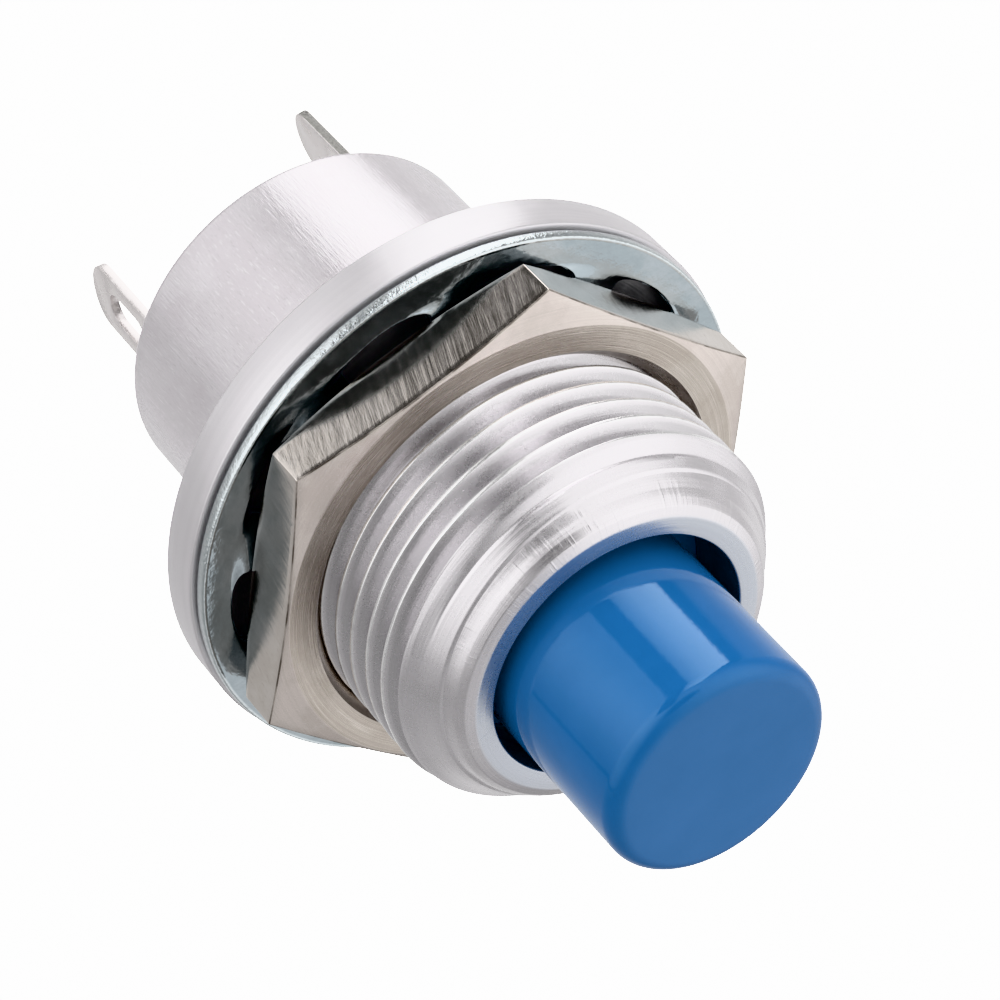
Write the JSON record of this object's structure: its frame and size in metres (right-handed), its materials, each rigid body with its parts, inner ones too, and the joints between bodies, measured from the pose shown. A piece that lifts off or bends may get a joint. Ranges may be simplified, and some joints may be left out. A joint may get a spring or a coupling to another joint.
{
  "type": "momentary push button switch",
  "caption": "Round panel-mount momentary push button switch with threaded aluminium bushing, blue button, hex nut, lock washer and solder lugs.",
  "frame": {"origin": "centre of the mounting flange's front face, the plane that the panel lies against", "axes": "+Z along the bushing, out of the panel towards the button; X through the two solder lugs; Y completes a right-handed frame"},
  "size_m": [0.0172, 0.0172, 0.0279],
  "materials": {
    "anodised_aluminium": "satin clear-anodised turned aluminium",
    "zinc_plate": "bright zinc-plated spring steel",
    "nickel_plate": "nickel-plated, finely turned and broached",
    "blue_plastic": "glossy moulded blue plastic",
    "tinned_brass": "bright tin-plated brass strip",
    "plain_brass": "turned brass",
    "spring_wire": "drawn stainless spring wire",
    "natural_nylon": "natural nylon",
    "silver_plate": "silver-plated copper",
    "spring_clip_steel": "blued spring steel",
    "insulating_fibre": "vulcanised fibre",
    "dark_phenolic": "dark moulded phenolic"
  },
  "bodies": {
    "root": {"housing": "anodised_aluminium", "guide_plate": "natural_nylon", "liner_sleeve": "insulating_fibre", "terminal_base": "dark_phenolic", "contact_rivet_left": "silver_plate", "contact_rivet_right": "silver_plate", "terminal_left": "tinned_brass", "terminal_right": "tinned_brass", "return_spring": "spring_wire"},
    "button": {"button_cap": "blue_plastic", "plunger_stem": "plain_brass", "stem_clip": "spring_clip_steel", "contact_spring": "spring_wire"},
    "bridge": {"contact_bridge": "silver_plate"},
    "washer": {"lock_washer": "zinc_plate"},
    "nut": {"hex_nut": "nickel_plate"}
  },
  "joints": [
    {"name": "button_press", "type": "slide", "parent": "root", "child": "button", "axis": [0, 0, -1], "range_m": [0, 0.0016], "stiffness_N_per_m": 1200, "springref_m": -0.0016, "deforming": ["return_spring"]},
    {"name": "bridge_overtravel", "type": "slide", "parent": "button", "child": "bridge", "axis": [0, 0, 1], "range_m": [0, 0.0006], "stiffness_N_per_m": 400, "springref_m": -0.001, "deforming": ["contact_spring"]},
    {"name": "nut_advance", "type": "slide", "parent": "root", "child": "washer", "axis": [0, 0, 1], "range_m": [0, 0.0036]},
    {"name": "nut_turn", "type": "hinge", "parent": "washer", "child": "nut", "pos_m": [0, 0, 0.00162], "axis": [0, 0, 1], "range_deg": [0, 1633]}
  ],
  "couplings": [
    {"joint": "bridge_overtravel", "follows": "button_press", "ratio": 0.375},
    {"joint": "nut_turn", "follows": "nut_advance", "rad_per_m": 7915.8}
  ]
}
